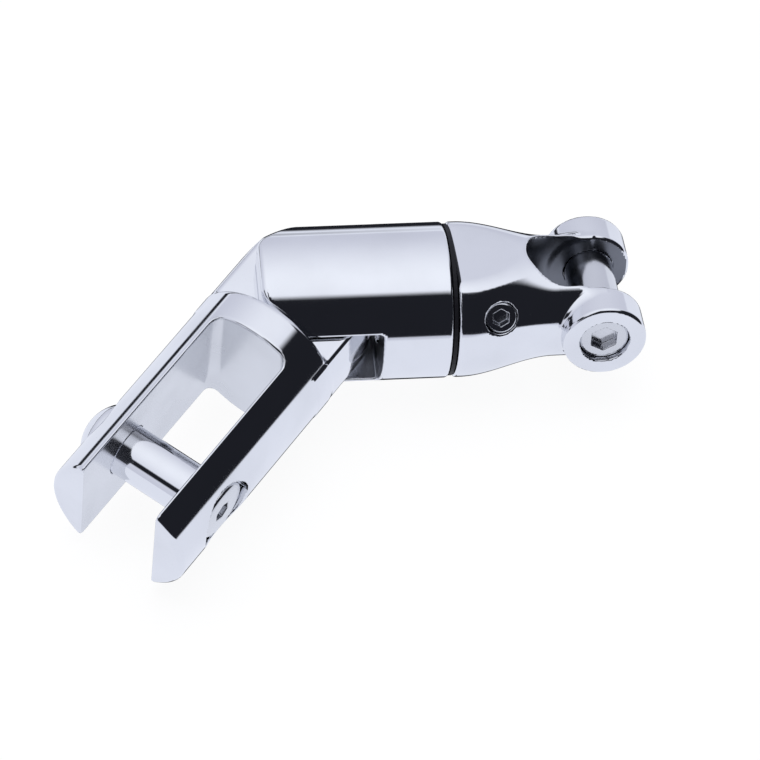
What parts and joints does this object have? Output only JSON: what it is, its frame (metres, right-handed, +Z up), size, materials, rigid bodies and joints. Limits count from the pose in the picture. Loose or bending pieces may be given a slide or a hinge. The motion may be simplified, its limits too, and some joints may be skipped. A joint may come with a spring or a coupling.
{
  "type": "anchor swivel",
  "caption": "Articulated swivelling connector: a slotted fork with a cross pin, hinged to a round barrel that carries a spinning tapered chain jaw.",
  "frame": {"origin": "centre of the bottom of the bounding box, with the connector lying on its side and bent to the end of its hinge travel", "axes": "+X along the barrel towards the chain jaw, +Z up along the knuckle pin, so the fork bends towards -Y"},
  "size_m": [0.0952, 0.0596, 0.025],
  "materials": {
    "polished_steel": "mirror polished stainless steel",
    "turned_steel": "turned stainless steel, lightly polished",
    "black_acetal": "black bearing plastic",
    "bearing_plastic": "natural white bearing plastic"
  },
  "bodies": {
    "barrel": {"barrel": "polished_steel", "knuckle_pin": "polished_steel", "swivel_bush": "bearing_plastic", "thrust_washer": "bearing_plastic", "seam_washer": "black_acetal"},
    "fork": {"anchor_fork": "polished_steel", "knuckle_bush": "bearing_plastic"},
    "anchor_pin": {"anchor_pin": "polished_steel"},
    "anchor_screw": {"anchor_pin_screw": "turned_steel"},
    "jaw": {"chain_jaw": "polished_steel", "spindle": "turned_steel", "jaw_set_screw": "turned_steel"},
    "chain_pin": {"chain_pin": "turned_steel"}
  },
  "joints": [
    {"name": "knuckle_tilt", "type": "hinge", "parent": "barrel", "child": "fork", "pos_m": [-0.00577, 0.01677, 0.0125], "axis": [0, 0, 1], "range_deg": [-100, 0]},
    {"name": "swivel_spin", "type": "hinge", "parent": "barrel", "child": "jaw", "pos_m": [-0.00577, 0.01677, 0.0125], "axis": [1, 0, 0], "continuous": true},
    {"name": "anchor_pin_slide", "type": "slide", "parent": "fork", "child": "anchor_pin", "axis": [-0.766, 0.6428, 0], "range_m": [0, 0.026]},
    {"name": "anchor_screw_slide", "type": "slide", "parent": "fork", "child": "anchor_screw", "axis": [0.766, -0.6428, 0], "range_m": [0, 0.014]},
    {"name": "chain_pin_slide", "type": "slide", "parent": "jaw", "child": "chain_pin", "axis": [0, -0.9563, 0.2924], "range_m": [0, 0.028]}
  ]
}
